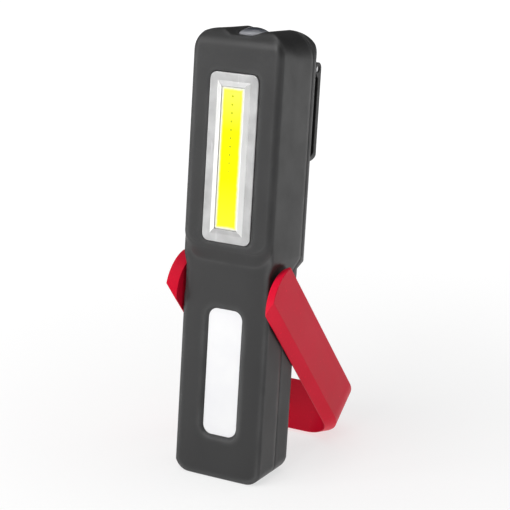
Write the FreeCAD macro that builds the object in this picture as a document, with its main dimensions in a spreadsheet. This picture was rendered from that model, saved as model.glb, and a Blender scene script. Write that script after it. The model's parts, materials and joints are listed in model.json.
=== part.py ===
import FreeCAD, Part
import math
import os
import re

import Sketcher
from FreeCAD import Placement, Rotation, Vector

# A rechargeable inspection light: a two-part case with a long light strip in its front and a torch in
# its top, a U-shaped stand hinged at the waist, and a fold-out hanging hook on the back.
#
# The case is drawn upright. X runs to the right, Y to the back and Z up, from the middle of the foot.
# The stand is drawn folded, with its pivot at the origin. At the end, every piece leans back with the
# case until the case's back edge and the stand's crossbar both touch the ground.

DIMENSIONS = (
    # name, millimetres or degrees, what it measures
    ("case_width", 47.2, "across the side faces"),
    ("case_height", 207.0, "foot to the shoulders of the top"),
    ("handle_front", 13.5, "centre plane to the crown of the handle"),
    ("handle_back", 13.2, "centre plane to the back of the handle"),
    ("head_front", 16.0, "centre plane to the front of the head"),
    ("head_back", 18.5, "centre plane to the back of the head"),
    ("head_edge", 2.4, "rounding of the edge of the head's front"),
    ("foot_corner", 8.0, "corner radius of the foot, seen from the front"),
    ("top_corner", 13.5, "corner radius of the top, seen from the front"),
    ("front_edge", 1.2, "rounding of the handle's front edges"),
    ("back_edge", 2.2, "rounding of the handle's back edges"),
    ("waist_half", 22.0, "centre plane to the side of the waist"),
    ("waist_top", 97.0, "height where the waist ends"),
    ("waist_foot", 84.0, "height where the waist starts"),
    ("shoulder", 103.0, "height of the head's side shoulder"),
    ("seam_handle", 0.9, "seam of the case on the handle"),
    ("seam_head", 13.2, "seam of the case on the head"),
    ("wall_half", 20.0, "centre plane to the inside of a side wall"),
    ("lamp_height", 148.9, "height of the middle of the light strip"),
    ("frame_width", 25.4, "silver frame, across"),
    ("frame_length", 77.8, "silver frame, along"),
    ("frame_corner", 3.5, "silver frame, corner radius"),
    ("bevel_width", 17.3, "foot of the raised bevel, across"),
    ("bevel_length", 70.3, "foot of the raised bevel, along"),
    ("bevel_rise", 0.9, "height of the raised bevel"),
    ("strip_width", 11.6, "light strip with its border, across"),
    ("strip_length", 65.0, "light strip with its border, along"),
    ("strip_border", 0.6, "width of the silicone border"),
    ("label_width", 17.9, "white plate, across"),
    ("label_length", 60.5, "white plate, along"),
    ("label_corner", 4.6, "white plate, corner radius"),
    ("label_height", 48.0, "height of the middle of the white plate"),
    ("label_sunk", 1.3, "depth of the white plate below the crown"),
    ("plate", 1.0, "thickness of the white plate"),
    ("torch_radius", 7.4, "radius of the torch lens"),
    ("torch_rise", 2.7, "height of the lens dome"),
    ("cell_radius", 9.1, "radius of the battery cell"),
    ("cell_length", 65.0, "length of the battery cell"),
    ("cell_foot", 5.4, "height of the lower end of the cell"),
    ("pivot_height", 82.0, "height of the stand's pivot"),
    ("pin_radius", 3.0, "radius of the pivot pins"),
    ("running_gap", 0.05, "radial clearance of a running pin"),
    ("stand_reach", 98.35, "pivot to the outside of the crossbar"),
    ("stand_half", 28.8, "centre plane to the outside of an arm"),
    ("arm_gap", 0.2, "gap between an arm and the side of the case"),
    ("arm_half", 13.8, "half the width of an arm at its inner face"),
    ("arm_end", 17.6, "radius of the arm's round end"),
    ("arm_bevel", 3.9, "width of the bevel along the arm"),
    ("stand_open", 45.0, "angle of the open stand from the handle"),
    ("magnet_radius", 8.0, "radius of the magnet in the crossbar"),
    ("magnet_thick", 3.0, "thickness of the magnet"),
    ("hook_half", 21.5, "half the width of the hanging hook"),
    ("hook_face", 25.4, "centre plane to the outside of the hook"),
    ("hook_thick", 2.6, "thickness of the hook"),
    ("hook_axis_y", 22.3, "centre plane to the hook's hinge"),
    ("hook_axis_z", 189.5, "height of the hook's hinge"),
    ("button_height", 120.0, "height of the power button"),
    ("button_radius", 6.0, "radius of the power button"),
    ("port_height", 126.0, "height of the charging socket"),
    ("port_depth", 4.4, "centre plane to the middle of the socket"),
    ("screw_radius", 1.25, "radius of a case screw's shank"),
)

doc = FreeCAD.newDocument("work_light")
sheet = doc.addObject("Spreadsheet::Sheet", "Sizes")
for row, (alias, amount, meaning) in enumerate(DIMENSIONS, start=1):
    sheet.set(f"A{row}", alias)
    sheet.set(f"B{row}", str(amount))
    sheet.set(f"C{row}", meaning)
    sheet.setAlias(f"B{row}", alias)
doc.recompute()


class Sizes:
    """The sheet's cells as numbers, for the shapes that Part's own functions make."""


size = Sizes()
for alias, _, _ in DIMENSIONS:
    setattr(size, alias, float(sheet.get(alias)))

ALIASES = {alias for alias, _, _ in DIMENSIONS}
case_pieces = []
stand_pieces = []


# ---------------------------------------------------------------- drawing helpers


def bind(thing, setting, formula):
    """Ties one property to a formula in the sheet's names."""
    words = re.sub(r"[a-z_]+", lambda m: f"Sizes.{m[0]}" if m[0] in ALIASES else m[0], str(formula))
    thing.setExpression(setting, words)


def in_space(across, up, plane, at):
    """A point of a flat drawing, on the plane that stands at the third coordinate."""
    if plane == "xy":
        return Vector(across, up, at)
    if plane == "xz":
        return Vector(across, at, up)
    return Vector(at, across, up)


def outline(corners, plane, at=0.0):
    """A closed wire through (across, up, radius) corners, each rounded by its radius."""
    points = [in_space(across, up, plane, at) for across, up, _ in corners]
    bends = []
    for index, (_, _, radius) in enumerate(corners):
        corner = points[index]
        arriving = (corner - points[index - 1]).normalize()
        leaving = (points[(index + 1) % len(points)] - corner).normalize()
        half_turn = arriving.getAngle(leaving) / 2
        reach = radius * math.tan(half_turn)
        inward = (leaving - arriving).normalize()
        middle = corner + inward * (radius / math.cos(half_turn) - radius)
        bends.append((corner - arriving * reach, middle, corner + leaving * reach, radius))
    edges = []
    for index, (start, middle, end, radius) in enumerate(bends):
        if radius:
            edges.append(Part.Arc(start, middle, end).toShape())
        following = bends[(index + 1) % len(bends)][0]
        if (following - end).Length > 1e-6:
            edges.append(Part.makeLine(end, following))
    return Part.Wire(edges)


def prism(corners, plane, low, high):
    """A straight solid with the given outline, from low to high along the third axis."""
    along = in_space(0, 0, plane, high - low)
    return Part.Face(outline(corners, plane, low)).extrude(along)


def box(low, high):
    """An upright box between two corners."""
    low, high = Vector(*low), Vector(*high)
    spread = high - low
    return Part.makeBox(spread.x, spread.y, spread.z, low)


def rod(radius, start, end):
    """A round rod between two points."""
    start, end = Vector(*start), Vector(*end)
    return Part.makeCylinder(radius, (end - start).Length, start, end - start)


def slab(half_width, half_length, radius, middle, front, back):
    """A plate facing the front, with rounded corners, centred at a height."""
    corners = [
        (-half_width, middle - half_length, radius),
        (half_width, middle - half_length, radius),
        (half_width, middle + half_length, radius),
        (-half_width, middle + half_length, radius),
    ]
    return prism(corners, "xz", front, back)


def mirrored(shape):
    """The shape and its twin on the other side of the centre plane."""
    return [shape, shape.mirror(Vector(0, 0, 0), Vector(1, 0, 0))]


def fuse(first, *others):
    return first.multiFuse(list(others)).removeSplitter()


def rounded(shape, radius, wanted):
    """The shape with a fillet on each edge that passes the test."""
    return shape.makeFillet(radius, [edge for edge in shape.Edges if wanted(edge)])


def add_shape(name, shape, pieces):
    """A sub-part whose shape comes from the drawing functions above."""
    piece = doc.addObject("Part::Feature", name)
    piece.Label = name
    piece.Shape = shape
    pieces.append(piece)
    return piece


# ---------------------------------------------------------------- parametric helpers


def new_body(name, pieces):
    body = doc.addObject("PartDesign::Body", name)
    body.Label = name
    pieces.append(body)
    return body


def new_sketch(body, name, role, offset):
    """A sketch on one of the body's own planes, moved along the plane's normal."""
    sketch = body.newObject("Sketcher::SketchObject", name)
    plane = next(feature for feature in body.Origin.OriginFeatures if feature.Role == role)
    sketch.AttachmentSupport = [(plane, "")]
    sketch.MapMode = "FlatFace"
    bind(sketch, "AttachmentOffset.Base.z", offset)
    return sketch


def draw_rectangle(sketch, left, right, bottom, top):
    """A rectangle whose four sides stand at the four formulas."""
    first = sketch.GeometryCount
    points = [Vector(-5, -5, 0), Vector(5, -5, 0), Vector(5, 5, 0), Vector(-5, 5, 0)]
    for index, point in enumerate(points):
        sketch.addGeometry(Part.LineSegment(point, points[(index + 1) % 4]), False)
    for index in range(4):
        following = first + (index + 1) % 4
        sketch.addConstraint(Sketcher.Constraint("Coincident", first + index, 2, following, 1))
        direction = "Horizontal" if index % 2 == 0 else "Vertical"
        sketch.addConstraint(Sketcher.Constraint(direction, first + index))
    places = (
        ("DistanceX", first, -5, left),
        ("DistanceY", first, -5, bottom),
        ("DistanceX", first + 2, 5, right),
        ("DistanceY", first + 2, 5, top),
    )
    for kind, line, guess, formula in places:
        number = sketch.addConstraint(Sketcher.Constraint(kind, -1, 1, line, 1, guess))
        bind(sketch, f"Constraints[{number}]", formula)


def draw_circle(sketch, across, up, radius):
    circle = sketch.addGeometry(Part.Circle(Vector(1, 1, 0), Vector(0, 0, 1), 2), False)
    places = (("DistanceX", across), ("DistanceY", up))
    for kind, formula in places:
        number = sketch.addConstraint(Sketcher.Constraint(kind, -1, 1, circle, 3, 1))
        bind(sketch, f"Constraints[{number}]", formula)
    number = sketch.addConstraint(Sketcher.Constraint("Radius", circle, 2))
    bind(sketch, f"Constraints[{number}]", radius)


def add_pad(body, sketch, name, length):
    pad = body.newObject("PartDesign::Pad", name)
    pad.Profile = sketch
    bind(pad, "Length", length)
    doc.recompute()
    return pad


def add_pocket(body, sketch, name, length):
    """A pocket that must take material away."""
    before = body.Shape.Volume
    pocket = body.newObject("PartDesign::Pocket", name)
    pocket.Profile = sketch
    pocket.Reversed = True
    bind(pocket, "Length", length)
    doc.recompute()
    assert body.Shape.Volume < before, f"{name} cuts nothing"
    return pocket


def round_corners(body, feature, name, radius, wanted):
    """A fillet on the feature's edges that pass the test."""
    numbers = [n for n, edge in enumerate(feature.Shape.Edges, start=1) if wanted(edge)]
    fillet = body.newObject("PartDesign::Fillet", name)
    fillet.Base = (feature, [f"Edge{n}" for n in numbers])
    bind(fillet, "Radius", radius)
    doc.recompute()
    return fillet


def runs_along(axis):
    """A test for straight edges that run along one axis."""

    def test(edge):
        if edge.Curve.TypeId != "Part::GeomLine":
            return False
        return abs(edge.Curve.Direction.dot(axis)) > 0.999

    return test


FRONT_TO_BACK = Vector(0, 1, 0)
UPWARD = Vector(0, 0, 1)


def front_plate(name, half_width, half_length, middle, front, thickness, corner=None):
    """A PartDesign plate that faces the front; all sizes are formulas."""
    body = new_body(name, case_pieces)
    sketch = new_sketch(body, f"{name}_outline", "XZ_Plane", f"-({front}) - ({thickness})")
    low, high = f"{middle} - ({half_length})", f"{middle} + {half_length}"
    draw_rectangle(sketch, f"-({half_width})", half_width, low, high)
    pad = add_pad(body, sketch, f"{name}_pad", thickness)
    if corner:
        round_corners(body, pad, f"{name}_corners", corner, runs_along(FRONT_TO_BACK))
    return body


# ---------------------------------------------------------------- case, outside

HALF = size.case_width / 2
ROOM = 40.0
DRAFT_START = -1.0


def lean_angle():
    """The lean, in radians, that puts the foot and the edge of the open stand's crossbar on the ground."""
    opened = math.radians(size.stand_open)
    flat = size.arm_half - size.arm_bevel
    bar_y = size.stand_reach * math.sin(opened) - flat * math.cos(opened)
    bar_z = size.pivot_height - size.stand_reach * math.cos(opened) - flat * math.sin(opened)
    return math.atan2(bar_z, bar_y - size.handle_back)


def foot_height(y):
    """The height of the foot's underside, which lies on the ground when the light leans."""
    return (y - size.handle_back) * math.tan(lean_angle())


def crowned_section(half_width, taper=0.0):
    """The handle's section: a flat back, and a front that is narrower and falls off towards its edges."""
    drop, crown_half, crown_radius = 0.5, 13.0, 150.0
    fall = drop * (half_width - crown_half) / (HALF - crown_half)
    return [
        (-half_width, size.handle_back, 0),
        (taper - half_width, fall - size.handle_front, 0),
        (-crown_half, -size.handle_front, crown_radius),
        (crown_half, -size.handle_front, crown_radius),
        (half_width - taper, fall - size.handle_front, 0),
        (half_width, size.handle_back, 0),
    ]


def handle_block():
    """The handle's bar: a crowned front, rounded edges, and a foot that slopes as the light leans."""
    top = 96.0
    bar = prism(crowned_section(HALF, 0.7), "xy", -8, top)
    low = foot_height(-ROOM)
    foot = [
        (-HALF, low, size.foot_corner),
        (HALF, low, size.foot_corner),
        (HALF, 130, 0),
        (-HALF, 130, 0),
    ]
    along_the_ground = Vector(0, 2 * ROOM, foot_height(ROOM) - low)
    bar = bar.common(Part.Face(outline(foot, "xz", -ROOM)).extrude(along_the_ground))
    front = 0.52 - size.handle_front

    def on_front(edge):
        middle = edge.BoundBox.Center
        on_rim = abs(middle.x) > HALF - size.foot_corner or middle.z < 0.01
        is_seam = runs_along(UPWARD)(edge) and abs(middle.x) < HALF - 2
        return edge.BoundBox.YMax < front and on_rim and not is_seam and middle.z < top - 1

    def on_back(edge):
        return abs(edge.BoundBox.YMin - size.handle_back) < 0.01 and edge.BoundBox.Center.z < top - 1

    bar = rounded(bar, size.front_edge, on_front)
    return rounded(bar, size.back_edge, on_back)


HEAD_BASE = -13.2
HEAD_INSET = 0.15
FACE_INSET = 0.95
FRONT_CORNER = 10.5


def head_outline(inset, radius):
    """The head seen from the front, drawn in by the inset; it runs down into the waist."""
    half, top = HALF - inset, size.case_height - inset
    low = 90
    return [
        (-half, low, 0),
        (half, low, 0),
        (half, top, radius),
        (-half, top, radius),
    ]


def head_core():
    """The head behind its raised front: straight at the back, drawn in all round towards the front."""
    back = prism(head_outline(0, size.top_corner), "xz", DRAFT_START, size.head_back)
    wide = outline(head_outline(0, size.top_corner), "xz", DRAFT_START)
    narrow = outline(head_outline(HEAD_INSET, FRONT_CORNER), "xz", HEAD_BASE)
    drafted = Part.makeLoft([narrow, wide], True, True)
    section = [
        (-HALF, size.head_back, 3.2),
        (-HALF, -20, 0),
        (HALF, -20, 0),
        (HALF, size.head_back, 3.2),
    ]
    side_view = [
        (-20, 95, 0),
        (size.handle_back - 0.5, 95, 0),
        (size.handle_back, 97.2, 0),
        (size.head_back, 101, 1.5),
        (size.head_back, size.case_height, 7.0),
        (-20, size.case_height, 0),
    ]
    core = back.fuse(drafted)
    core = core.common(prism(section, "xy", 80, 220))
    core = core.common(prism(side_view, "yz", -ROOM, ROOM))
    rise = (size.shoulder - size.waist_top) / (HALF - size.waist_half)
    beyond = HALF + 3
    shoulder = [
        (size.waist_half, 80, 0),
        (beyond, 80, 0),
        (beyond, size.shoulder + 3 * rise, 0),
        (size.waist_half, size.waist_top, 0),
    ]
    for cut in mirrored(prism(shoulder, "xz", -ROOM, ROOM)):
        core = core.cut(cut)
    return core


def head_front():
    """The raised front of the head: sloping sides, a broad sloping foot and a soft edge round its face."""
    half, high, radius = HALF - HEAD_INSET, size.case_height - HEAD_INSET, FRONT_CORNER
    low, low_radius = 99.3, 12.0
    base = [
        (-half, low, low_radius),
        (half, low, low_radius),
        (half, high, radius),
        (-half, high, radius),
    ]
    half, high, radius = half - FACE_INSET, high - FACE_INSET, radius - FACE_INSET
    low, low_radius = 107.0, 8.5
    face = [
        (-half, low, low_radius),
        (half, low, low_radius),
        (half, high, radius),
        (-half, high, radius),
    ]
    block = Part.makeLoft([outline(face, "xz", -size.head_front), outline(base, "xz", HEAD_BASE)], True, True)
    return rounded(block, size.head_edge, lambda edge: edge.BoundBox.YMax < 0.01 - size.head_front)


def case_form():
    """The closed outer form of the case."""
    waist, top = size.waist_half, size.case_height
    neck = prism(crowned_section(waist), "xy", 94, 108)
    head = head_core().fuse(neck).fuse(head_front())
    roll = 8
    front, behind = -size.head_front, -size.head_front - 5
    top_roll = [
        (behind, top - roll, 0),
        (front, top - roll, 0),
        (front, top, roll),
        (front + roll, top, 0),
        (front + roll, top + 5, 0),
        (behind, top + 5, 0),
    ]
    head = head.cut(prism(top_roll, "yz", -ROOM, ROOM))
    bar = handle_block()
    waist_cut = [
        (waist, size.waist_foot, 0),
        (HALF + 1, size.waist_foot - 4, 0),
        (HALF + 1, 130, 0),
        (waist, 130, 0),
    ]
    for cut in mirrored(prism(waist_cut, "xz", -ROOM, ROOM)):
        bar = bar.cut(cut)
    form = fuse(bar, head)
    valley = [
        (-11.5, 207.2, 0),
        (-5.0, 204.4, 3),
        (5.0, 204.4, 3),
        (11.5, 207.2, 0),
        (11.5, 215, 0),
        (-11.5, 215, 0),
    ]
    form = form.cut(prism(valley, "xz", -ROOM, ROOM))
    hub_pocket = rod(10.7, (waist, 0, size.pivot_height), (HALF + 1, 0, size.pivot_height))
    for pocket in mirrored(hub_pocket):
        form = form.cut(pocket)
    return form


def case_cavity():
    """The hollow inside the case."""
    side_view = [
        (-9.9, 2.5, 1),
        (size.handle_back - 2, 2.5, 1),
        (size.handle_back - 2, 98.2, 0),
        (size.head_back - 2.2, 101.9, 0),
        (size.head_back - 2.2, 201, 1),
        (-13.6, 201, 1),
        (-13.6, 108.5, 0),
        (-9.9, 102, 0),
    ]
    front_view = [
        (-size.wall_half, 2.5, 4.2),
        (size.wall_half, 2.5, 4.2),
        (size.wall_half, 201, 9.5),
        (-size.wall_half, 201, 9.5),
    ]
    return prism(side_view, "yz", -ROOM, ROOM).common(prism(front_view, "xz", -ROOM, ROOM))


def behind_seam():
    """Everything behind the seam between the two halves of the case."""
    jog_low, jog_high = 86.0, 102.0
    corners = [
        (size.seam_handle, -10, 0),
        (ROOM, -10, 0),
        (ROOM, 230, 0),
        (size.seam_head, 230, 0),
        (size.seam_head, jog_high, 0),
        (size.seam_handle, jog_low, 0),
    ]
    return prism(corners, "yz", -ROOM, ROOM)


def seam_grooves():
    """The fine line that shows where the two halves meet."""
    depth, half_gap = 0.45, 0.16
    inner = HALF - depth
    foot = foot_height(size.seam_handle)
    ring_outer = [
        (-HALF - 1, -ROOM, 0),
        (HALF + 1, -ROOM, 0),
        (HALF + 1, 208, 0),
        (-HALF - 1, 208, 0),
    ]
    ring_inner = [
        (-inner, foot + depth, size.foot_corner - depth),
        (inner, foot + depth, size.foot_corner - depth),
        (inner, size.case_height - depth, size.top_corner - depth),
        (-inner, size.case_height - depth, size.top_corner - depth),
    ]
    stretches = ((size.seam_handle, -ROOM, size.waist_foot - 4), (size.seam_head, size.shoulder + 0.5, 199.0))
    grooves = []
    for y, low, high in stretches:
        ring = prism(ring_outer, "xz", y - half_gap, y + half_gap)
        ring = ring.cut(prism(ring_inner, "xz", y - 1, y + 1))
        grooves.append(ring.common(box((-ROOM, -ROOM, low), (ROOM, ROOM, high))))
    return grooves


# ---------------------------------------------------------------- case, details

HANDLE_SCREWS = [(x, z) for x in (-15.5, 15.5) for z in (12.0, 64.0)]
HEAD_SCREWS = [(x, z) for x in (-15.6, 15.6) for z in (112.0, 196.0)]
SCREW_LENGTH = 12.0
HEAD_SEAT = size.head_back - 2.0
HANDLE_SEAT = size.handle_back - 6.6
PORT_Z, PORT_Y = size.port_height, size.port_depth
LUG_HALF = 17.4
CONTACT_TOP = size.cell_foot + size.cell_length + 1.9


def screw_sites():
    """Each case screw: its place, where its head seats, the back face there, and the seam."""
    sites = [(x, z, HANDLE_SEAT, size.handle_back, size.seam_handle, -9.9) for x, z in HANDLE_SCREWS]
    sites += [(x, z, HEAD_SEAT, size.head_back, size.seam_head, -13.6) for x, z in HEAD_SCREWS]
    return sites


def label_recess():
    """The recess of the white plate, with a sloping wall."""
    slope = 1.5
    floor = size.label_sunk + size.plate - size.handle_front
    seat = slab(
        size.label_width / 2,
        size.label_length / 2,
        size.label_corner,
        size.label_height,
        -size.handle_front - 1,
        floor,
    )
    wires = []
    for grow, y in ((slope * 1.8, -size.handle_front - 0.8), (0.15, size.label_sunk - size.handle_front - 0.1)):
        half, reach = size.label_width / 2 + grow, size.label_length / 2 + grow
        corners = [
            (-half, size.label_height - reach, size.label_corner + grow),
            (half, size.label_height - reach, size.label_corner + grow),
            (half, size.label_height + reach, size.label_corner + grow),
            (-half, size.label_height + reach, size.label_corner + grow),
        ]
        wires.append(outline(corners, "xz", y))
    return fuse(seat, Part.makeLoft(wires, True, True))


def pivot_holes():
    radius = size.pin_radius + size.running_gap
    return [rod(radius, (side * 15, 0, size.pivot_height), (side * 30, 0, size.pivot_height)) for side in (-1, 1)]


def make_front_shell(form, cavity):
    shell = form.cut(behind_seam())
    inner = shell.cut(cavity)
    bosses = []
    pilots = []
    for x, z, seat, _, seam, floor in screw_sites():
        bosses.append(rod(2.9, (x, floor - 0.5, z), (x, seam, z)))
        tip = seat - SCREW_LENGTH
        pilots.append(rod(size.screw_radius + 0.05, (x, tip - 0.5, z), (x, seam + 1, z)))
    ribs = []
    for z in (20.0, 56.0):
        rib = box((-size.wall_half, -10.2, z), (size.wall_half, -3.0, z + 1.6))
        ribs.append(rib.cut(rod(size.cell_radius + 0.15, (0, 0.9, z - 1), (0, 0.9, z + 4))))
    reach = size.wall_half + 0.5
    shelf = box((-reach, -14.0, 190.2), (reach, -3.0, 191.8))
    bulkhead = box((-reach, -10.4, CONTACT_TOP), (reach, -1.5, CONTACT_TOP + 1.8))
    contact_rest = box((-8.5, -2.5, CONTACT_TOP), (8.5, 4.5, CONTACT_TOP + 1.8))
    inner = fuse(inner, *bosses, *ribs, shelf, bulkhead, contact_rest)
    lamp_recess = slab(size.frame_width / 2 + 0.25, size.frame_length / 2 + 0.25, size.frame_corner + 0.25,
                       size.lamp_height, -size.head_front - 1, 0.8 - size.head_front)
    lamp_window = slab(9.1, 36.6, 1.0, size.lamp_height, -size.head_front - 1, -13.0)
    torch_hole = rod(size.torch_radius + 0.15, (0, 0, 199), (0, 0, 210))
    port_hole = box((-25, PORT_Y - 2.4, PORT_Z - 5.2), (-19, PORT_Y + 2.4, PORT_Z + 5.2))
    cover_seat = box((-25, PORT_Y - 4.3, PORT_Z - 7.9), (-22.2, PORT_Y + 4.3, PORT_Z + 7.6))
    cutters = [lamp_recess, lamp_window, torch_hole, port_hole, cover_seat, label_recess()]
    for cutter in cutters + pilots + pivot_holes() + seam_grooves():
        inner = inner.cut(cutter)
    return inner


def make_rear_shell(form, cavity):
    shell = form.common(behind_seam())
    shell = shell.cut(cavity)
    bosses = []
    holes = []
    for x, z, seat, back, seam, _ in screw_sites():
        bosses.append(rod(3.7, (x, seam, z), (x, back - 0.5, z)))
        holes.append(rod(1.6, (x, seam - 1, z), (x, back + 1, z)))
        holes.append(rod(2.8, (x, seat, z), (x, back + 1, z)))
    posts = [rod(1.8, (x, 7.6, z), (x, 16.8, z)) for x in (-10.0, 10.0) for z in (113.0, 180.0)]
    lug_low, lug_top, lug_face = 182.0, size.hook_axis_z + 2.7, size.hook_face - 1.0
    lug = [
        (size.head_back - 0.5, lug_low, 0),
        (lug_face, lug_low, 0.6),
        (lug_face, lug_top, 2.0),
        (size.head_back - 0.5, lug_top, 0),
    ]
    shell = fuse(shell, *bosses, *posts, prism(lug, "yz", -LUG_HALF, LUG_HALF))
    axis_y, axis_z = size.hook_axis_y, size.hook_axis_z
    pin_hole = rod(1.5, (-LUG_HALF - 1, axis_y, axis_z), (LUG_HALF + 1, axis_y, axis_z))
    button_hole = rod(size.button_radius + 0.3, (0, 12, size.button_height), (0, 20, size.button_height))
    light_hole = rod(1.6, (0, 12, 134.0), (0, 20, 134.0))
    for cutter in [pin_hole, button_hole, light_hole] + holes + pivot_holes() + seam_grooves():
        shell = shell.cut(cutter)
    return shell


def make_screws():
    """Pan-head screws with a cross recess."""
    screws = []
    for x, z, seat, _, _, _ in screw_sites():
        top = seat + 1.7
        head = rounded(rod(2.5, (x, seat, z), (x, top, z)), 0.6, lambda e, y=top: abs(e.BoundBox.YMin - y) < 0.01)
        for half_x, half_z in ((1.4, 0.3), (0.3, 1.4)):
            head = head.cut(box((x - half_x, top - 0.9, z - half_z), (x + half_x, top + 1, z + half_z)))
        shank = rod(size.screw_radius, (x, seat - SCREW_LENGTH, z), (x, seat, z))
        screws.append(fuse(head, shank))
    return Part.makeCompound(screws)


# ---------------------------------------------------------------- lamp and torch


def make_reflector():
    """The silver frame: a flat flange, a raised mitred bevel and a collar through the case."""
    flange_front = -size.head_front - 0.5
    flange = slab(size.frame_width / 2, size.frame_length / 2, size.frame_corner, size.lamp_height,
                  flange_front, 0.8 - size.head_front)
    flange = rounded(flange, 0.4, lambda edge: abs(edge.BoundBox.YMax - flange_front) < 0.01)
    wires = []
    for half_x, half_z, y in (
        (size.bevel_width / 2, size.bevel_length / 2, flange_front + 0.05),
        (size.strip_width / 2 + 0.45, size.strip_length / 2 + 0.45, flange_front - size.bevel_rise),
    ):
        corners = [
            (-half_x, size.lamp_height - half_z, 0),
            (half_x, size.lamp_height - half_z, 0),
            (half_x, size.lamp_height + half_z, 0),
            (-half_x, size.lamp_height + half_z, 0),
        ]
        wires.append(outline(corners, "xz", y))
    bevel = Part.makeLoft(wires, True, True)
    collar = slab(9.0, 36.5, 0.9, size.lamp_height, flange_front + 0.5, -13.6)
    frame = fuse(flange, bevel, collar)
    opening = slab(size.strip_width / 2 + 0.15, size.strip_length / 2 + 0.15, 0.2, size.lamp_height, -ROOM, 0)
    pocket = slab(7.75, 34.75, 0.2, size.lamp_height, 0.2 + flange_front, 0)
    return frame.cut(opening).cut(pocket)


def make_heat_sink():
    """An aluminium plate with a plinth that the lamp board sits on."""
    plate = slab(11.5, 39.5, 1.5, size.lamp_height, -13.6, -12.1)
    plinth = slab(7.7, 34.7, 0.2, size.lamp_height, -15.2, -13.6)
    return fuse(plate, plinth)


def turned(profile):
    """A solid of revolution about the torch's upright axis from (radius, height) corners."""
    return Part.Face(outline(profile, "xz")).revolve(Vector(0, 0, 0), UPWARD, 360)


def make_torch_lens():
    radius, rise = size.torch_radius, size.torch_rise
    base = size.case_height + 0.7 - rise
    sphere = (radius**2 + rise**2) / (2 * rise)
    foot, ledge, rim = 198.6, 200.2, 9.2
    body = turned([
        (0, foot, 0),
        (rim, foot, 0),
        (rim, ledge, 0),
        (radius, ledge, 0),
        (radius, 210, 0),
        (0, 210, 0),
    ])
    dome = Part.makeSphere(sphere, Vector(0, 0, base + rise - sphere))
    lower = rod(10, (0, 0, foot), (0, 0, base))
    return body.common(fuse(lower, dome.common(rod(radius, (0, 0, base), (0, 0, base + rise + 1)))))


def make_torch_reflector():
    """A metallised cup round the torch's chip."""
    foot, floor, brim = 193.4, 194.2, 198.6
    return turned([
        (2.6, foot, 0),
        (9.2, foot, 0),
        (9.2, brim, 0),
        (7.2, brim, 0),
        (3.4, floor, 0),
        (2.6, floor, 0),
    ])


def make_torch_led():
    base = box((-1.75, -1.75, 193.4), (1.75, 1.75, 194.0))
    dome = Part.makeSphere(1.4, Vector(0, 0, 194.0)).common(box((-2, -2, 194.0), (2, 2, 197)))
    return fuse(base, dome)


# ---------------------------------------------------------------- electronics


def make_board_components():
    """Coil, chips and capacitors on the front of the main board."""
    board = 6.0
    coil = rounded(box((-4, board - 3.2, 150), (4, board, 158)), 1.2, runs_along(FRONT_TO_BACK))
    chips = [box((-9, board - 1.5, z), (-4, board, z + 5)) for z in (136.0, 166.0)]
    cans = [rod(2.5, (7, board - 4.5, z), (7, board, z)) for z in (140.0, 166.0)]
    return Part.makeCompound([coil, *chips, *cans])


def make_charging_socket():
    """A metal socket shell with its contact tongue."""
    half = [
        (PORT_Y - 1.6, PORT_Z - 4.5, 1.4),
        (PORT_Y + 1.6, PORT_Z - 4.5, 1.4),
        (PORT_Y + 1.6, PORT_Z + 4.5, 1.4),
        (PORT_Y - 1.6, PORT_Z + 4.5, 1.4),
    ]
    inner = [
        (PORT_Y - 1.3, PORT_Z - 4.2, 1.1),
        (PORT_Y + 1.3, PORT_Z - 4.2, 1.1),
        (PORT_Y + 1.3, PORT_Z + 4.2, 1.1),
        (PORT_Y - 1.3, PORT_Z + 4.2, 1.1),
    ]
    shell = prism(half, "yz", -19.8, -12.3).cut(prism(inner, "yz", -21, -13.0))
    tongue = box((-18.8, PORT_Y - 0.35, PORT_Z - 3.2), (-12.9, PORT_Y + 0.35, PORT_Z + 3.2))
    return fuse(shell, tongue)


def make_tact_switch():
    z = size.button_height
    base = box((-3, 7.6, z - 3), (3, 11.1, z + 3))
    return fuse(base, rod(1.7, (0, 11.0, z), (0, 12.0, z)))


def make_power_button():
    """A domed cap that shows on the back, a flange that keeps it in, and a stem."""
    z, radius = size.button_height, size.button_radius
    cap = rounded(rod(radius, (0, 15, z), (0, 19.7, z)), 0.9, lambda edge: edge.BoundBox.YMin > 19.6)
    ring = rod(radius - 1.4, (0, 19.3, z), (0, 20, z)).cut(rod(radius - 2.0, (0, 19.0, z), (0, 21, z)))
    flange = rod(7.3, (0, 15.0, z), (0, 16.1, z))
    stem = rod(2.2, (0, 12.7, z), (0, 15.5, z))
    return fuse(cap, flange, stem).cut(ring)


def make_port_cover():
    """A rubber flap with a plug behind it and a rounded hinge end at its foot."""
    outer, inner = -23.5, -22.5
    hinge = PORT_Z - 7.0
    flap = box((outer, PORT_Y - 3.9, hinge), (inner, PORT_Y + 3.9, PORT_Z + 7.2))
    flap = rounded(flap, 1.2, lambda edge: runs_along(Vector(1, 0, 0))(edge) and edge.BoundBox.ZMin > PORT_Z)
    barrel = rod(0.5, ((outer + inner) / 2, PORT_Y - 3.9, hinge), ((outer + inner) / 2, PORT_Y + 3.9, hinge))
    plug = box((inner - 0.1, PORT_Y - 1.2, PORT_Z - 4.0), (-20.9, PORT_Y + 1.2, PORT_Z + 4.0))
    plug = rounded(plug, 0.9, runs_along(Vector(1, 0, 0)))
    return fuse(flap, barrel, plug)


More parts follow.
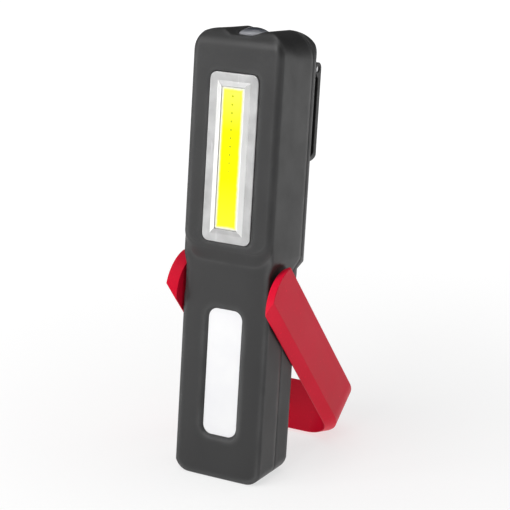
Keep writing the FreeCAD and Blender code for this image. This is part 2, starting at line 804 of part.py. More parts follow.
def make_contacts():
    """Bent nickel strips at both ends of the cell."""
    floor, seat = 2.5, size.cell_foot - 0.02
    strip = 0.4
    low = [
        (-8, floor, 0),
        (8, floor, 0),
        (8, floor + strip, 0),
        (4, floor + strip, 0),
        (4, seat, 0),
        (-4, seat, 0),
        (-4, seat - strip, 0),
        (4 - strip, seat - strip, 0),
        (4 - strip, floor + strip, 0),
        (-8, floor + strip, 0),
    ]
    high = [
        (-8, CONTACT_TOP - strip, 0),
        (8, CONTACT_TOP - strip, 0),
        (8, CONTACT_TOP, 0),
        (-8, CONTACT_TOP, 0),
    ]
    strips = [prism(low, "xz", -2.6, 4.4), prism(high, "xz", -2.6, 4.4)]
    return Part.makeCompound(strips)


def make_wires():
    """The two leads from the battery's contacts to the foot of the main board."""
    radius, end = 0.7, 113.0
    beside_cell = 10.4
    leads = []
    for x, foot, y in ((beside_cell, 3.0, size.seam_handle), (-5.0, CONTACT_TOP - 1.0, 5.4)):
        bend = (x, y, 96.0)
        landing = (x / 2, 4.9, end)
        leads.append(fuse(rod(radius, (x, y, foot), bend), Part.makeSphere(radius, Vector(*bend)),
                          rod(radius, bend, landing)))
    return Part.makeCompound(leads)


# ---------------------------------------------------------------- stand, drawn folded about its pivot

ARM_INNER = HALF + size.arm_gap
BAR_THICK = 5.0


def make_stand_frame():
    """The U: two flat arms with bevelled edges and round ends, joined by a crossbar."""
    slope = 4.5

    def u_outline(inset, y):
        half = size.stand_half - inset
        low = inset - size.stand_reach
        radius = 19.5 - inset
        return outline([(-half, low, radius), (half, low, radius), (half, 30, 0), (-half, 30, 0)], "xz", y)

    flat = size.arm_half - size.arm_bevel
    wires = [u_outline(slope, -size.arm_half), u_outline(0, -flat), u_outline(0, flat), u_outline(slope, size.arm_half)]
    block = Part.makeLoft(wires, True, True)
    inner = [
        (-ARM_INNER, BAR_THICK - size.stand_reach, 13.5),
        (ARM_INNER, BAR_THICK - size.stand_reach, 13.5),
        (ARM_INNER, 40, 0),
        (-ARM_INNER, 40, 0),
    ]
    block = block.cut(prism(inner, "xz", -ROOM, ROOM))
    flare, start, end = 0.48, ARM_INNER - 3, size.stand_half + 3
    small, large = size.arm_end - 3 * flare, size.arm_end + (end - ARM_INNER) * flare
    cone = Part.makeCone(small, large, end - start, Vector(start, 0, 0), Vector(1, 0, 0))
    for cut in mirrored(box((start, -ROOM, 0), (end, ROOM, ROOM)).cut(cone)):
        block = block.cut(cut)
    hubs = mirrored(rod(10.0, (size.waist_half + 0.6, 0, 0), (ARM_INNER + 0.5, 0, 0)))
    block = fuse(block, *hubs)
    sockets = mirrored(rod(size.pin_radius, (size.waist_half, 0, 0), (ARM_INNER + 3.0, 0, 0)))
    magnet = rod(size.magnet_radius, (0, 0, -size.stand_reach - 1), (0, 0, size.magnet_thick - size.stand_reach))
    for cutter in sockets + [magnet]:
        block = block.cut(cutter)
    return block


def make_pivot_pins():
    """Steel pins fixed in the arms, grooved at the inner end for a clip."""
    pins = []
    for side in (-1, 1):
        pin = rod(size.pin_radius, (side * 18.2, 0, 0), (side * (ARM_INNER + 3.0), 0, 0))
        groove = rod(10, (side * 18.9, 0, 0), (side * 19.6, 0, 0)).cut(rod(2.3, (side * 18, 0, 0), (side * 20, 0, 0)))
        pins.append(pin.cut(groove))
    return Part.makeCompound(pins)


def make_pivot_clips():
    clips = []
    for side in (-1, 1):
        ring = rod(4.6, (side * 18.95, 0, 0), (side * 19.55, 0, 0)).cut(rod(2.32, (side * 18, 0, 0), (side * 20, 0, 0)))
        slot = box((-ROOM, -1.2, -6), (ROOM, 1.2, 0))
        clips.append(ring.cut(slot))
    return Part.makeCompound(clips)


def make_washers():
    height = size.pivot_height
    washers = []
    for side in (-1, 1):
        disc = rod(8.5, (side * size.waist_half, 0, height), (side * (size.waist_half + 0.5), 0, height))
        washers.append(disc.cut(rod(3.35, (side * 20, 0, height), (side * 25, 0, height))))
    return Part.makeCompound(washers)


# ---------------------------------------------------------------- hanging hook


def make_hook():
    """A plate with a window, two eyes on the hinge pin, and a foot that turns in towards the case."""
    face, inner, half = size.hook_face, size.hook_face - size.hook_thick, size.hook_half
    axis_y, axis_z = size.hook_axis_y, size.hook_axis_z
    eye = face - axis_y
    foot, lip = 145.1, 19.3
    side_view = [
        (face, axis_z + eye, eye),
        (axis_y - eye, axis_z + eye, eye),
        (axis_y - eye, axis_z - 0.9, 0),
        (inner, axis_z - 4.3, 0),
        (inner, 150.6, 2),
        (lip, 148.0, 0),
        (lip, foot, 0.8),
        (22.4, foot, 2),
        (face, 148.3, 2),
    ]
    front_view = [
        (-half, foot, 5),
        (half, foot, 5),
        (half, 200, 0),
        (-half, 200, 0),
    ]
    frame = prism(side_view, "yz", -half - 1, half + 1)
    frame = frame.common(prism(front_view, "xz", 0, ROOM))
    window = slab(half - 5.0, 11.5, 4.0, 163.5, 0, ROOM)
    notch_half = LUG_HALF + 0.35
    notch = box((-notch_half, 0, 180.5), (notch_half, ROOM, 200))
    bore = rod(1.5 + size.running_gap, (-30, axis_y, axis_z), (30, axis_y, axis_z))
    return frame.cut(window).cut(notch).cut(bore)


# ---------------------------------------------------------------- sub-parts

form = case_form()
cavity = case_cavity()
add_shape("front_shell", make_front_shell(form, cavity), case_pieces)
add_shape("rear_shell", make_rear_shell(form, cavity), case_pieces)
add_shape("case_screws", make_screws(), case_pieces)

add_shape("cob_reflector", make_reflector(), case_pieces)
add_shape("heat_sink", make_heat_sink(), case_pieces)
front_plate("cob_board", "7.7", "34.7", "lamp_height", "-head_front - 0.2", "1.0", "0.2")

dam = front_plate("cob_dam", "strip_width / 2", "strip_length / 2", "lamp_height", "-head_front - 0.9", "0.7", "0.8")
dam_opening = new_sketch(dam, "cob_dam_opening", "XZ_Plane", "head_front + 0.2")
draw_rectangle(
    dam_opening,
    "strip_border - strip_width / 2",
    "strip_width / 2 - strip_border",
    "lamp_height - strip_length / 2 + strip_border",
    "lamp_height + strip_length / 2 - strip_border",
)
add_pocket(dam, dam_opening, "cob_dam_pocket", "2")
front_plate("cob_phosphor", "strip_width / 2 - strip_border", "strip_length / 2 - strip_border", "lamp_height",
            "-head_front - 0.95", "0.75")
front_plate("label_plate", "label_width / 2 - 0.03", "label_length / 2 - 0.03", "label_height",
            "label_sunk - handle_front", "plate", "label_corner")

add_shape("torch_lens", make_torch_lens(), case_pieces)
add_shape("torch_reflector", make_torch_reflector(), case_pieces)
add_shape("torch_led", make_torch_led(), case_pieces)
seal = rod(9.2, (0, 0, 200.2), (0, 0, 201.0)).cut(rod(size.torch_radius + 0.05, (0, 0, 199), (0, 0, 203)))
add_shape("torch_seal", seal, case_pieces)
torch_board = new_body("torch_board", case_pieces)
torch_disc = new_sketch(torch_board, "torch_board_outline", "XY_Plane", "191.8")
draw_circle(torch_disc, "0", "0", "9.2")
add_pad(torch_board, torch_disc, "torch_board_pad", "1.6")

main_board = front_plate("main_board", "12", "37", "147", "6.0", "1.6", "1.0")
socket_tab = new_sketch(main_board, "main_board_tab", "XZ_Plane", "-7.6")
draw_rectangle(socket_tab, "-17.5", "-11", "port_height - 6", "port_height + 6")
add_pad(main_board, socket_tab, "main_board_tab_pad", "1.6")
add_shape("board_components", make_board_components(), case_pieces)
add_shape("charging_socket", make_charging_socket(), case_pieces)
add_shape("tact_switch", make_tact_switch(), case_pieces)
add_shape("power_button", make_power_button(), case_pieces)
add_shape("port_cover", make_port_cover(), case_pieces)
add_shape("charge_indicator", rod(1.58, (0, 15.2, 134.0), (0, 18.7, 134.0)), case_pieces)

cell = new_body("battery_cell", case_pieces)
cell_section = new_sketch(cell, "cell_outline", "XY_Plane", "cell_foot")
draw_circle(cell_section, "0", "seam_handle", "cell_radius")
can = add_pad(cell, cell_section, "cell_can", "cell_length")
cell_button = new_sketch(cell, "cell_button_outline", "XY_Plane", "cell_foot + cell_length")
draw_circle(cell_button, "0", "seam_handle", "3.2")
add_pad(cell, cell_button, "cell_button", "1.4")
add_shape("battery_contacts", make_contacts(), case_pieces)
add_shape("inner_wires", make_wires(), case_pieces)

add_shape("pivot_washers", make_washers(), case_pieces)
add_shape("hanging_hook", make_hook(), case_pieces)
hook_pin = doc.addObject("Part::Cylinder", "hook_pin")
hook_pin.Label = "hook_pin"
bind(hook_pin, "Radius", "1.5")
bind(hook_pin, "Height", "42")
hook_pin.Placement = Placement(
    Vector(-21, size.hook_axis_y, size.hook_axis_z), Rotation(Vector(0, 1, 0), 90)
)
case_pieces.append(hook_pin)

add_shape("stand_frame", make_stand_frame(), stand_pieces)
add_shape("stand_pivot_pins", make_pivot_pins(), stand_pieces)
add_shape("pivot_clips", make_pivot_clips(), stand_pieces)
magnet = doc.addObject("Part::Cylinder", "stand_magnet")
magnet.Label = "stand_magnet"
bind(magnet, "Radius", "magnet_radius - 0.05")
bind(magnet, "Height", "magnet_thick - 0.1")
magnet.Placement = Placement(Vector(0, 0, -size.stand_reach), Rotation())
stand_pieces.append(magnet)

doc.recompute()

# ---------------------------------------------------------------- standing pose


lean = Placement(Vector(0, 0, 0), Rotation(Vector(1, 0, 0), -math.degrees(lean_angle())))
opened = Placement(Vector(0, 0, size.pivot_height), Rotation(Vector(1, 0, 0), size.stand_open))


def stand_up(shift):
    """Leans every piece and moves them all by the shift."""
    moved = Placement(shift, Rotation()) * lean
    for piece in case_pieces:
        piece.Placement = moved * drawn[piece.Name]
    for piece in stand_pieces:
        piece.Placement = moved * opened * drawn[piece.Name]
    doc.recompute()


def overall_box():
    total = FreeCAD.BoundBox()
    for piece in case_pieces + stand_pieces:
        total.add(piece.Shape.optimalBoundingBox())
    return total


drawn = {piece.Name: piece.Placement for piece in case_pieces + stand_pieces}
stand_up(Vector(0, 0, 0))
extent = overall_box()
origin_shift = Vector(-extent.Center.x, -extent.Center.y, -extent.ZMin)
stand_up(origin_shift)

# ---------------------------------------------------------------- checks and files

for thing in doc.Objects:
    assert not {"Invalid", "Error"} & set(thing.State), f"{thing.Name}: {thing.State}"
for piece in case_pieces + stand_pieces:
    shape = piece.Shape
    assert not shape.isNull() and shape.isValid() and shape.Volume > 0, f"{piece.Label} is not a sound solid"

os.makedirs("parts", exist_ok=True)
for piece in case_pieces + stand_pieces:
    piece.Shape.exportStep(f"parts/{piece.Label}.step")
print(f"lean {math.degrees(lean_angle()):.3f} degrees, origin moved by {tuple(round(v, 3) for v in origin_shift)}")
for piece in case_pieces + stand_pieces:
    print(f"{piece.Label:20s} {piece.Shape.Volume:10.1f} mm3  {len(piece.Shape.Solids)} solid(s)")
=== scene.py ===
import json
import math

import bmesh
import bpy
from mathutils import Matrix, Vector


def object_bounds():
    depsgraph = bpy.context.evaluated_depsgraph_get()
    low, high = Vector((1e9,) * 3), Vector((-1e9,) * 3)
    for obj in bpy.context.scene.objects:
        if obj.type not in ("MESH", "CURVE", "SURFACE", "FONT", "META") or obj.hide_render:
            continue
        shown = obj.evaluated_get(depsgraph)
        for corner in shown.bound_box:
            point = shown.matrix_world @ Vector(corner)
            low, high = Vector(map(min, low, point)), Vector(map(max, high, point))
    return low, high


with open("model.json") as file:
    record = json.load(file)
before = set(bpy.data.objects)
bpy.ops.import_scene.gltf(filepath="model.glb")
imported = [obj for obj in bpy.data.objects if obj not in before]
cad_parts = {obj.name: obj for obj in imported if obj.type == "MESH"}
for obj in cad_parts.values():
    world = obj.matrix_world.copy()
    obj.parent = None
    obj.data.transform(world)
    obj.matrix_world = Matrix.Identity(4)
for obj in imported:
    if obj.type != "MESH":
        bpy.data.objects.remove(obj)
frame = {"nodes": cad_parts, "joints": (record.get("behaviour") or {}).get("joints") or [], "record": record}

cad_low, cad_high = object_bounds()
record = frame["record"]
scene = bpy.context.scene
scene.view_settings.view_transform = "Standard"

# ---------------------------------------------------------------- the case's own frame

# X points right, Y to the case's back and Z up the case. The stand's pivot is this far up from the origin,
# and the frame leans back by the angle of the power button's path.
PIVOT_HEIGHT = 0.082

joints = {joint["name"]: joint for joint in frame["joints"]}
press = joints["power_press"]["axis"]
LEAN = math.atan2(press[2], -press[1])
upright = Matrix.Rotation(-LEAN, 4, "X")
foot = Vector(joints["stand_swing"]["pos_m"]) - upright @ Vector((0, 0, PIVOT_HEIGHT))
case_frame = Matrix.Translation(foot) @ upright


def local_box(node):
    """A node's lowest and highest corners in the case's own frame."""
    inverse = case_frame.inverted()
    points = [inverse @ vertex.co for vertex in frame["nodes"][node].data.vertices]
    low = Vector([min(point[axis] for point in points) for axis in range(3)])
    high = Vector([max(point[axis] for point in points) for axis in range(3)])
    return low, high


# ---------------------------------------------------------------- camera

AZIMUTH, ELEVATION, ROLL = math.radians(30.32), math.radians(16.80), math.radians(0.16)
DISTANCE = 0.877
FOCAL_LENGTH, SENSOR = 134.75, 36
MIDDLE_HEIGHT = 0.1
AIM_RIGHT, AIM_UP = 0.01147, 0.00432

middle = foot + Vector((0, 0, MIDDLE_HEIGHT))
back = Vector((
    math.sin(AZIMUTH) * math.cos(ELEVATION),
    -math.cos(AZIMUTH) * math.cos(ELEVATION),
    math.sin(ELEVATION),
))
right = Vector((math.cos(AZIMUTH), math.sin(AZIMUTH), 0))
up = back.cross(right)
aim = middle + right * AIM_RIGHT + up * AIM_UP
camera = bpy.data.objects.new("camera", bpy.data.cameras.new("camera"))
scene.collection.objects.link(camera)
camera.data.lens = FOCAL_LENGTH
camera.data.sensor_width = SENSOR
camera.data.clip_start, camera.data.clip_end = 0.01, 20
turn = Matrix((right, up, back)).transposed() @ Matrix.Rotation(ROLL, 3, "Z")
camera.matrix_world = Matrix.Translation(aim + back * DISTANCE) @ turn.to_4x4()
scene.camera = camera

# ---------------------------------------------------------------- material nodes


# A Mix node's colour sockets share their names with its other sockets, so they go by number.
MIX_FIRST, MIX_SECOND, MIX_RESULT = 6, 7, 2


def set_range(node, from_low, from_high, to_low, to_high):
    """Sets the four ends of a Map Range node."""
    ends = {"From Min": from_low, "From Max": from_high, "To Min": to_low, "To Max": to_high}
    for socket, value in ends.items():
        node.inputs[socket].default_value = value


class Surface:
    """A material's node tree, with short calls for the nodes that the surfaces share."""

    def __init__(self, name, color, roughness, metallic=0.0, **sockets):
        self.name = name
        self.material = bpy.data.materials.new(name)
        self.material.use_nodes = True
        self.tree = self.material.node_tree
        self.shader = self.tree.nodes["Principled BSDF"]
        self.shader.inputs["Base Color"].default_value = (*color, 1)
        self.shader.inputs["Roughness"].default_value = roughness
        self.shader.inputs["Metallic"].default_value = metallic
        for socket, value in sockets.items():
            self.shader.inputs[socket.replace("_", " ")].default_value = value
        self.place = self.tree.nodes.new("ShaderNodeTexCoord").outputs["Object"]

    def node(self, kind, **settings):
        made = self.tree.nodes.new(kind)
        for name, value in settings.items():
            setattr(made, name, value)
        return made

    def join(self, start, end):
        self.tree.links.new(start, end)

    def color(self, value):
        self.join(value, self.shader.inputs["Base Color"])

    def roughness(self, value):
        self.join(value, self.shader.inputs["Roughness"])

    def noise(self, scale, detail, stretch=(1, 1, 1)):
        """Noise at so many cells per metre."""
        place = self.place
        if stretch != (1, 1, 1):
            mapping = self.node("ShaderNodeMapping")
            mapping.inputs["Scale"].default_value = stretch
            self.join(place, mapping.inputs["Vector"])
            place = mapping.outputs["Vector"]
        noise = self.node("ShaderNodeTexNoise")
        noise.inputs["Scale"].default_value = scale
        noise.inputs["Detail"].default_value = detail
        self.join(place, noise.inputs["Vector"])
        return noise.outputs["Fac"]

    def ramp(self, value, stops):
        """A colour ramp of (position, colour or grey) stops."""
        ramp = self.node("ShaderNodeValToRGB")
        elements = ramp.color_ramp.elements
        while len(elements) < len(stops):
            elements.new(0.5)
        for element, (position, color) in zip(elements, stops):
            element.position = position
            element.color = (*color, 1) if isinstance(color, tuple) else (color, color, color, 1)
        self.join(value, ramp.inputs["Fac"])
        return ramp.outputs["Color"]

    def cloudy(self, noise, low, high):
        """Drifts between two colours or two greys with a noise."""
        return self.ramp(noise, ((0.3, low), (0.7, high)))

    def math(self, operation, first, second=None, third=None):
        made = self.node("ShaderNodeMath", operation=operation)
        for socket, value in zip(made.inputs, (first, second, third)):
            if value is None:
                continue
            if isinstance(value, (int, float)):
                socket.default_value = value
            else:
                self.join(value, socket)
        return made.outputs[0]

    def vary(self, noise, reach):
        """A noise as a length or share that reaches so far to either side of zero."""
        return self.math("MULTIPLY_ADD", noise, 2 * reach, -reach)

    def share(self, length, whole):
        """A length as a share of a whole."""
        return self.math("MULTIPLY", length, 1 / whole)

    def hypotenuse(self, first, second):
        squares = [self.math("POWER", side, 2) for side in (first, second)]
        return self.math("SQRT", self.math("ADD", *squares))

    def mix(self, factor, first, second):
        made = self.node("ShaderNodeMix", data_type="RGBA")
        self.join(factor, made.inputs["Factor"])
        for number, value in ((MIX_FIRST, first), (MIX_SECOND, second)):
            if isinstance(value, tuple):
                made.inputs[number].default_value = (*value, 1)
            else:
                self.join(value, made.inputs[number])
        return made.outputs[MIX_RESULT]

    def bump(self, height, distance, strength, under=None):
        made = self.node("ShaderNodeBump")
        made.inputs["Distance"].default_value = distance
        made.inputs["Strength"].default_value = strength
        self.join(height, made.inputs["Height"])
        if under is not None:
            self.join(under, made.inputs["Normal"])
        self.join(made.outputs["Normal"], self.shader.inputs["Normal"])
        return made.outputs["Normal"]

    def soft_edges(self, radius):
        """A normal that rounds the edges of the shading, to lay a bump over."""
        bevel = self.node("ShaderNodeBevel", samples=6)
        bevel.inputs["Radius"].default_value = radius
        return bevel.outputs["Normal"]

    def highlit_edges(self, radius):
        """Where the surface turns within the radius: the edges that get a painted highlight, broken up by a
        noise.
        """
        same = self.node("ShaderNodeVectorMath", operation="DOT_PRODUCT")
        self.join(self.soft_edges(radius), same.inputs[0])
        self.join(self.node("ShaderNodeNewGeometry").outputs["Normal"], same.inputs[1])
        turned = self.ramp(self.math("SUBTRACT", 1.0, same.outputs["Value"]), ((0.002, 0.0), (0.05, 1.0)))
        return self.math("MULTIPLY", turned, self.ramp(self.noise(60, 4), ((0.3, 0.25), (0.62, 1.0))))

    def local(self, origin):
        """Coordinates from a point of the case's frame, along the case's own axes."""
        mapping = self.node("ShaderNodeMapping", vector_type="TEXTURE")
        mapping.inputs["Location"].default_value = case_frame @ origin
        mapping.inputs["Rotation"].default_value = (-LEAN, 0, 0)
        self.join(self.place, mapping.inputs["Vector"])
        parts = self.node("ShaderNodeSeparateXYZ")
        self.join(mapping.outputs["Vector"], parts.inputs[0])
        return parts.outputs


# ---------------------------------------------------------------- plastics and metals


def moulded_plastic(name, color, lighter, rough_low, rough_high, grain=0.00003, edge=0.0006, edge_highlight=None,
                    **more):
    """Moulded plastic: a spark-eroded grain, faint flow marks, a satin that varies with handling, and where
    asked a painted highlight on the edges.
    """
    highlight_reach = 0.0045
    made = Surface(name, color, (rough_low + rough_high) / 2, **more)
    flow = made.ramp(made.noise(38, 4), ((0.3, 0.0), (0.72, 1.0)))
    speck = made.ramp(made.noise(900, 3), ((0.62, 0.0), (0.8, 0.5)))
    shade = made.mix(flow, color, lighter)
    shade = made.mix(speck, shade, tuple(part * 1.5 for part in lighter))
    if edge_highlight is not None:
        # Painted highlight: the edges are painted a paler grey.
        shade = made.mix(made.highlit_edges(highlight_reach), shade, edge_highlight)
    made.color(shade)
    made.roughness(made.ramp(made.noise(75, 5), ((0.25, rough_low), (0.75, rough_high))))
    wave = made.bump(made.noise(110, 2), 0.00006, 0.35, made.soft_edges(edge))
    made.bump(made.noise(2600, 2), grain, 0.6, wave)
    return made


def satin_metal(name, color, roughness, grain=(1, 1, 1), edge=0.0002, depth=0.000008):
    """Satin metal with a fine grain, along one axis where it is brushed."""
    made = Surface(name, color, roughness, metallic=1.0)
    fine = made.noise(900, 4, grain)
    made.color(made.mix(made.cloudy(fine, 0.0, 1.0), tuple(part * 0.86 for part in color), color))
    made.roughness(made.cloudy(made.noise(120, 4), roughness * 0.8, roughness * 1.2))
    made.bump(fine, depth, 0.5, made.soft_edges(edge))
    return made


plain_finishes = [
    # The case's edges carry a painted highlight.
    moulded_plastic(
        "black_case", (0.0145, 0.0145, 0.0148), (0.021, 0.021, 0.0213), 0.36, 0.50,
        edge=0.003, edge_highlight=(0.075, 0.075, 0.076),
    ),
    moulded_plastic("black_hook", (0.013, 0.013, 0.0133), (0.018, 0.018, 0.0183), 0.42, 0.55),
    moulded_plastic(
        "red_stand", (0.73, 0.005, 0.030), (0.80, 0.009, 0.042), 0.36, 0.46,
        grain=0.00002, edge=0.0005, Specular_IOR_Level=0.14,
    ),
    moulded_plastic("black_rubber", (0.022, 0.022, 0.022), (0.03, 0.03, 0.03), 0.6, 0.75, edge=0.0003),
    moulded_plastic("washer_plastic", (0.05, 0.05, 0.05), (0.06, 0.06, 0.06), 0.45, 0.55),
    moulded_plastic("dark_component", (0.05, 0.05, 0.055), (0.07, 0.07, 0.075), 0.5, 0.6),
    moulded_plastic("wire_cover", (0.5, 0.04, 0.04), (0.55, 0.05, 0.05), 0.4, 0.5),
    moulded_plastic("green_board", (0.04, 0.25, 0.11), (0.05, 0.3, 0.14), 0.25, 0.35),
    moulded_plastic("white_board", (0.8, 0.8, 0.78), (0.85, 0.85, 0.83), 0.25, 0.35),
    moulded_plastic("cell_can", (0.08, 0.22, 0.48), (0.1, 0.26, 0.54), 0.25, 0.35),
    satin_metal("black_screw", (0.10, 0.10, 0.10), 0.4, edge=0.0001),
    satin_metal("bare_aluminium", (0.72, 0.72, 0.73), 0.38, (8, 1, 1)),
    satin_metal("socket_steel", (0.6, 0.6, 0.61), 0.3, (1, 6, 6)),
    satin_metal("magnet_chrome", (0.66, 0.66, 0.67), 0.26, depth=0.000004),
    satin_metal("contact_brass", (0.76, 0.73, 0.64), 0.3, (1, 8, 1)),
]

# ---------------------------------------------------------------- the lamp


def silver_frame():
    """Bead-blasted, satin aluminium with a few fine scratches; the raised bevel's long sides carry a
    near-white painted reflection.
    """
    bevel_half_width, bevel_half_length = 0.00855, 0.03505
    low, high = local_box("cob_reflector")
    made = Surface("silver_frame", (0.5, 0.5, 0.5), 0.34, metallic=0.9)
    cloud = made.noise(160, 4)
    scratch = made.ramp(made.noise(700, 2, (1.0, 1.0, 0.06)), ((0.66, 0.0), (0.78, 0.5)))
    shade = made.mix(made.cloudy(cloud, 0.0, 1.0), (0.46, 0.46, 0.46), (0.56, 0.56, 0.56))
    shade = made.mix(scratch, shade, (0.8, 0.8, 0.81))
    x, _, z = made.local((low + high) / 2)
    beside = made.math("ABSOLUTE", x)
    along = made.math("ABSOLUTE", z)
    within_width = made.math("LESS_THAN", beside, bevel_half_width)
    within_length = made.math("LESS_THAN", along, bevel_half_length)
    mitre = made.math("SUBTRACT", beside, along)
    long_side = made.math("GREATER_THAN", mitre, bevel_half_width - bevel_half_length)
    # Painted reflection: the bevel's long sides are painted near-white.
    painted_reflection = made.math("MULTIPLY", made.math("MULTIPLY", within_width, within_length), long_side)
    made.color(made.mix(painted_reflection, shade, (0.97, 0.97, 0.96)))
    made.roughness(made.cloudy(cloud, 0.30, 0.42))
    made.bump(made.noise(2200, 3), 0.000012, 0.6, made.soft_edges(0.00018))
    return made


def phosphor_strip():
    """Silicone over yellow phosphor: pale at the border, with the chips' tiny shadows down the middle, and a
    faint glow of painted light in its own colour, though the strip is not switched on.
    """
    chip_pitch, chip_reach = 0.0038, 0.001
    border_width, pale_width = 0.001, 0.002
    low, high = local_box("cob_phosphor")
    half = (high - low) / 2
    made = Surface("yellow_phosphor", (0.95, 0.9, 0.02), 0.35, Specular_IOR_Level=0.03)
    # Painted light: the unlit strip glows faintly.
    made.shader.inputs["Emission Strength"].default_value = 0.2
    x, _, z = made.local((low + high) / 2)
    from_side = made.math("SUBTRACT", half.x, made.math("ABSOLUTE", x))
    from_end = made.math("SUBTRACT", half.z, made.math("ABSOLUTE", z))
    from_border = made.math("MINIMUM", from_side, made.math("MULTIPLY", from_end, 0.8))
    inward = made.math("ADD", from_border, made.vary(made.noise(420, 2), 0.00035))
    border = made.ramp(made.share(inward, border_width), (
        (0.0, (0.93, 0.93, 0.62)), (0.4, (0.92, 0.90, 0.22)), (1.0, (0.93, 0.90, 0.01)),
    ))
    share_up = made.math("ADD", made.share(z, 2 * half.z), 0.5)
    tone = made.ramp(share_up, (
        (0.0, (0.93, 0.88, 0.03)), (0.35, (0.93, 0.90, 0.002)),
        (0.7, (0.93, 0.91, 0.004)), (1.0, (0.92, 0.91, 0.1)),
    ))
    shade = made.mix(made.ramp(made.share(inward, pale_width), ((0.1, 0.0), (0.7, 1.0))), border, tone)
    step = made.math("SUBTRACT", made.math("FRACT", made.share(z, chip_pitch)), 0.5)
    from_chip = made.hypotenuse(made.math("MULTIPLY", step, chip_pitch), x)
    chip = made.ramp(made.share(from_chip, chip_reach), ((0.3, 1.0), (0.75, 0.0)))
    upper = made.ramp(share_up, ((0.3, 0.15), (0.55, 1.0)))
    shade = made.mix(made.math("MULTIPLY", chip, upper), shade, (0.42, 0.47, 0.01))
    made.color(shade)
    # The painted glow takes the strip's own colour.
    made.join(shade, made.shader.inputs["Emission Color"])
    made.bump(made.noise(600, 2), 0.00005, 0.25, made.soft_edges(0.0003))
    return made


def white_silicone():
    """The pale, slightly uneven wall of silicone round the phosphor."""
    made = Surface("white_silicone", (0.88, 0.88, 0.78), 0.35)
    made.color(made.cloudy(made.noise(500, 3), (0.84, 0.84, 0.70), (0.9, 0.9, 0.82)))
    made.roughness(made.cloudy(made.noise(300, 3), 0.3, 0.45))
    made.bump(made.noise(900, 2), 0.00004, 0.4)
    return made


# ---------------------------------------------------------------- the torch, the plate and the indicator


def clear_lens():
    """A clear moulded dome with faint rings; its colour holds painted shade over the torch's well and painted
    pale light where its wall is thick.
    """
    ring_pitch = 0.0009
    low, high = local_box("torch_lens")
    made = Surface("clear_lens", (0.4, 0.42, 0.46), 0.08, Transmission_Weight=0.35, IOR=1.46)
    x, y, _ = made.local((low + high) / 2)
    radius = made.hypotenuse(x, y)
    cloud = made.noise(260, 3)
    share_out = made.math("ADD", made.share(radius, (high.x - low.x) / 2), made.vary(cloud, 0.06))
    # Painted shade over the well in the middle, painted light at the thick rim.
    made.color(made.ramp(share_out, (
        (0.0, (0.05, 0.056, 0.07)), (0.35, (0.07, 0.078, 0.1)),
        (0.62, (0.24, 0.25, 0.28)), (0.78, (0.6, 0.61, 0.65)),
    )))
    made.roughness(made.cloudy(cloud, 0.06, 0.14))
    made.bump(made.math("SINE", made.share(radius, ring_pitch / (2 * math.pi))), 0.00003, 0.25)
    return made


def bright_reflector():
    """The torch's metallised bowl."""
    made = Surface("bright_reflector", (0.86, 0.86, 0.87), 0.1, metallic=1.0)
    made.roughness(made.cloudy(made.noise(400, 3), 0.07, 0.16))
    made.color(made.cloudy(made.noise(90, 2), 0.8, 0.9))
    made.bump(made.noise(700, 2), 0.00001, 0.4)
    return made


def led_white():
    """A white chip under its pale yellow phosphor."""
    made = Surface("led_white", (0.9, 0.84, 0.5), 0.2, Coat_Weight=0.5)
    made.color(made.cloudy(made.noise(900, 2), (0.88, 0.8, 0.42), (0.92, 0.87, 0.6)))
    made.roughness(made.cloudy(made.noise(500, 2), 0.15, 0.3))
    return made


def light_pipe():
    """The charge indicator's frosted, clear plastic."""
    made = Surface("light_pipe", (0.75, 0.77, 0.8), 0.25, Transmission_Weight=0.4)
    made.color(made.cloudy(made.noise(600, 2), (0.7, 0.72, 0.76), (0.8, 0.81, 0.83)))
    made.roughness(made.cloudy(made.noise(400, 2), 0.2, 0.35))
    made.bump(made.noise(900, 2), 0.00002, 0.3, made.soft_edges(0.0002))
    return made


def glossy_white():
    """A glossy white plate with faint orange peel and hairline scratches."""
    made = Surface("white_gloss", (0.84, 0.84, 0.86), 0.12, Coat_Weight=0.6, Coat_Roughness=0.04)
    made.color(made.mix(made.cloudy(made.noise(60, 3), 0.0, 1.0), (0.88, 0.88, 0.90), (0.93, 0.93, 0.935)))
    made.roughness(made.ramp(made.noise(500, 2, (1.0, 1.0, 0.04)), ((0.55, 0.10), (0.8, 0.26))))
    made.bump(made.noise(240, 2), 0.00002, 0.3, made.soft_edges(0.0003))
    return made


made_finishes = [
    silver_frame(), phosphor_strip(), white_silicone(), clear_lens(), bright_reflector(), led_white(),
    light_pipe(), glossy_white(),
]
finishes = {made.name: made.material for made in plain_finishes + made_finishes}
for part in record["subparts"]:
    for slot in frame["nodes"][part["node"]].material_slots:
        slot.material = finishes[part["material_slot"]]

# ---------------------------------------------------------------- studio


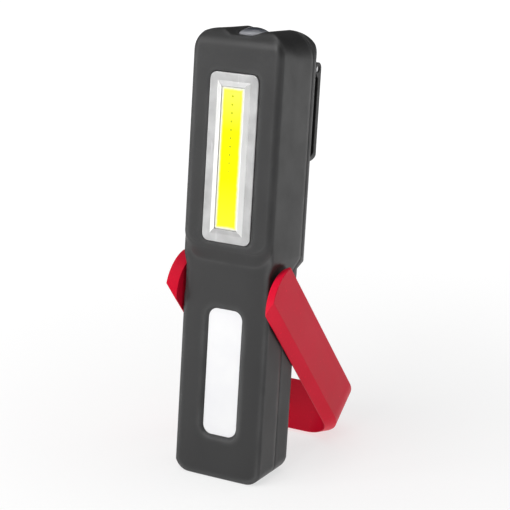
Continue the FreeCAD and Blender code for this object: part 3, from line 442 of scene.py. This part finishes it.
def paper():
    """Matte white paper on a lit table, brighter away from the object: its glow drops near the object as a
    painted shadow.
    """
    near, far = 0.03, 0.7
    glow_in_painted_shadow, far_glow = 0.68, 0.97
    made = Surface("studio_paper", (0.33, 0.33, 0.33), 0.9, Specular_IOR_Level=0.1)
    made.color(made.cloudy(made.noise(3, 3), 0.32, 0.34))
    made.bump(made.noise(700, 2), 0.00004, 0.2)
    distance = made.node("ShaderNodeVectorMath", operation="LENGTH")
    made.join(made.place, distance.inputs[0])
    # The paper's glow is lower near the object: a painted shadow round it.
    glow_and_painted_shadow = made.node("ShaderNodeMapRange")
    set_range(glow_and_painted_shadow, near, far, glow_in_painted_shadow, far_glow)
    made.join(distance.outputs["Value"], glow_and_painted_shadow.inputs["Value"])
    made.shader.inputs["Emission Color"].default_value = (1, 1, 1, 1)
    made.join(glow_and_painted_shadow.outputs["Result"], made.shader.inputs["Emission Strength"])
    return made


def floor():
    """A sheet of paper just under the object, so that the two faces don't lie in one plane."""
    half_side, gap = 6, 0.00003
    mesh = bpy.data.meshes.new("floor")
    shape = bmesh.new()
    bmesh.ops.create_grid(shape, x_segments=1, y_segments=1, size=half_side)
    shape.to_mesh(mesh)
    shape.free()
    mesh.materials.append(paper().material)
    sheet = bpy.data.objects.new("floor", mesh)
    sheet.location.z = cad_low.z - gap
    scene.collection.objects.link(sheet)


def white_room():
    """White walls that darken towards the ceiling, by how steeply a ray rises."""
    wall_rise, ceiling_rise = 0.15, 0.45
    wall_light, ceiling_light = 1.0, 0.6
    world = bpy.data.worlds.new("studio")
    scene.world = world
    world.use_nodes = True
    nodes, links = world.node_tree.nodes, world.node_tree.links
    split = nodes.new("ShaderNodeSeparateXYZ")
    links.new(nodes.new("ShaderNodeTexCoord").outputs["Generated"], split.inputs[0])
    fade = nodes.new("ShaderNodeMapRange")
    set_range(fade, wall_rise, ceiling_rise, wall_light, ceiling_light)
    links.new(split.outputs["Z"], fade.inputs["Value"])
    links.new(fade.outputs["Result"], nodes["Background"].inputs["Strength"])


def softbox(name, place, watts, width, height):
    """A soft lamp that faces the middle of the object; its place is to the camera's right, up, and near."""
    lamp = bpy.data.lights.new(name, "AREA")
    lamp.shape = "RECTANGLE"
    lamp.size, lamp.size_y = width, height
    lamp.energy = watts
    box = bpy.data.objects.new(name, lamp)
    near = Vector((back.x, back.y, 0)).normalized()
    box.location = middle + right * place[0] + Vector((0, 0, place[1])) + near * place[2]
    box.rotation_mode = "QUATERNION"
    box.rotation_quaternion = (middle - box.location).to_track_quat("-Z", "Y")
    scene.collection.objects.link(box)


floor()
white_room()
softbox("key", (-0.7, 0.75, 0.75), 8, 0.8, 0.8)
softbox("left", (-1.1, 0.3, 0.25), 3.5, 0.3, 0.9)
softbox("side", (1.0, 0.35, -0.4), 0.8, 0.4, 1.0)
softbox("top", (0.1, 1.6, -0.1), 15, 2.0, 2.0)
